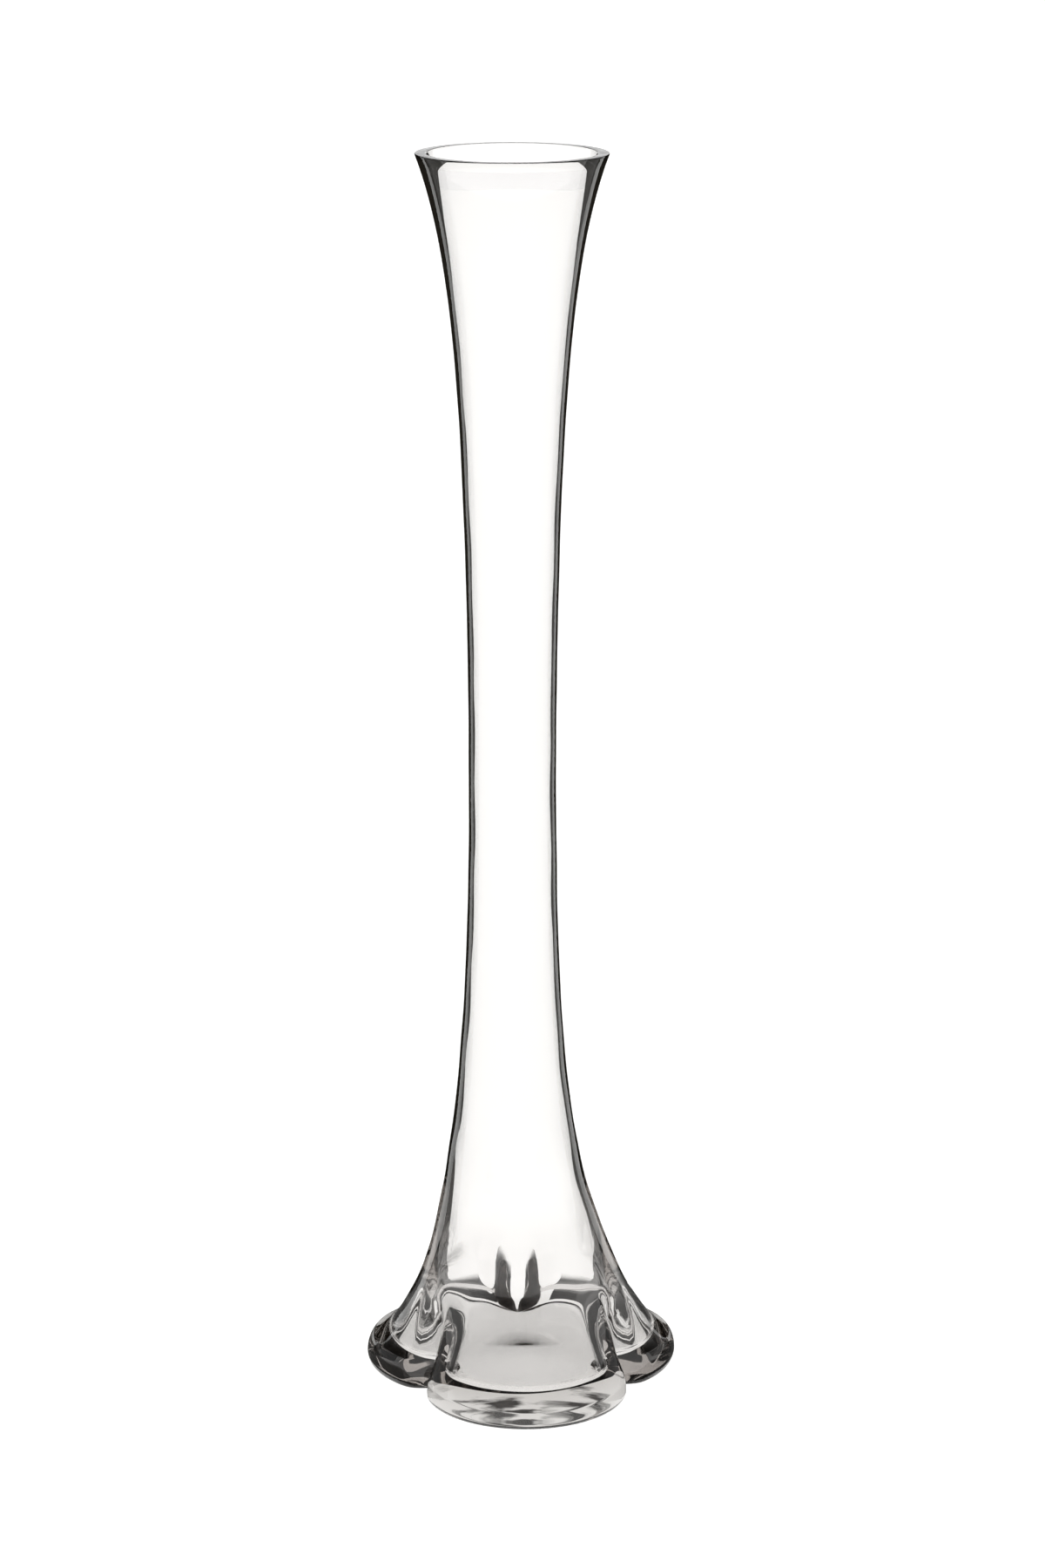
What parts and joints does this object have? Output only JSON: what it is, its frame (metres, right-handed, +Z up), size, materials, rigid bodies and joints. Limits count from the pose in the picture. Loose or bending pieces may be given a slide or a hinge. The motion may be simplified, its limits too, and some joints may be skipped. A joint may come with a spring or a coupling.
{
  "type": "flower vase",
  "caption": "Tall slim trumpet flower vase in clear glass, with a flared mouth and flat ground lip, a bell-shaped lower body and a thick foot pinched into rounded lobes.",
  "frame": {"origin": "on the standing plane, under the middle of the three-lobed foot", "axes": "+Z up along the vase from the foot to the lip; the front lobe of the foot points to -Y and +X is to the right when that lobe faces the viewer"},
  "size_m": [0.1528, 0.1455, 0.6],
  "materials": {
    "clear_glass": "clear fire-polished glass, with the lip ground flat"
  },
  "bodies": {
    "root": {"rim_lip": "clear_glass", "trumpet_tube": "clear_glass", "flared_bell": "clear_glass", "floor_disc": "clear_glass", "foot_lobe_front": "clear_glass", "foot_lobe_left": "clear_glass", "foot_lobe_right": "clear_glass"}
  },
  "joints": []
}
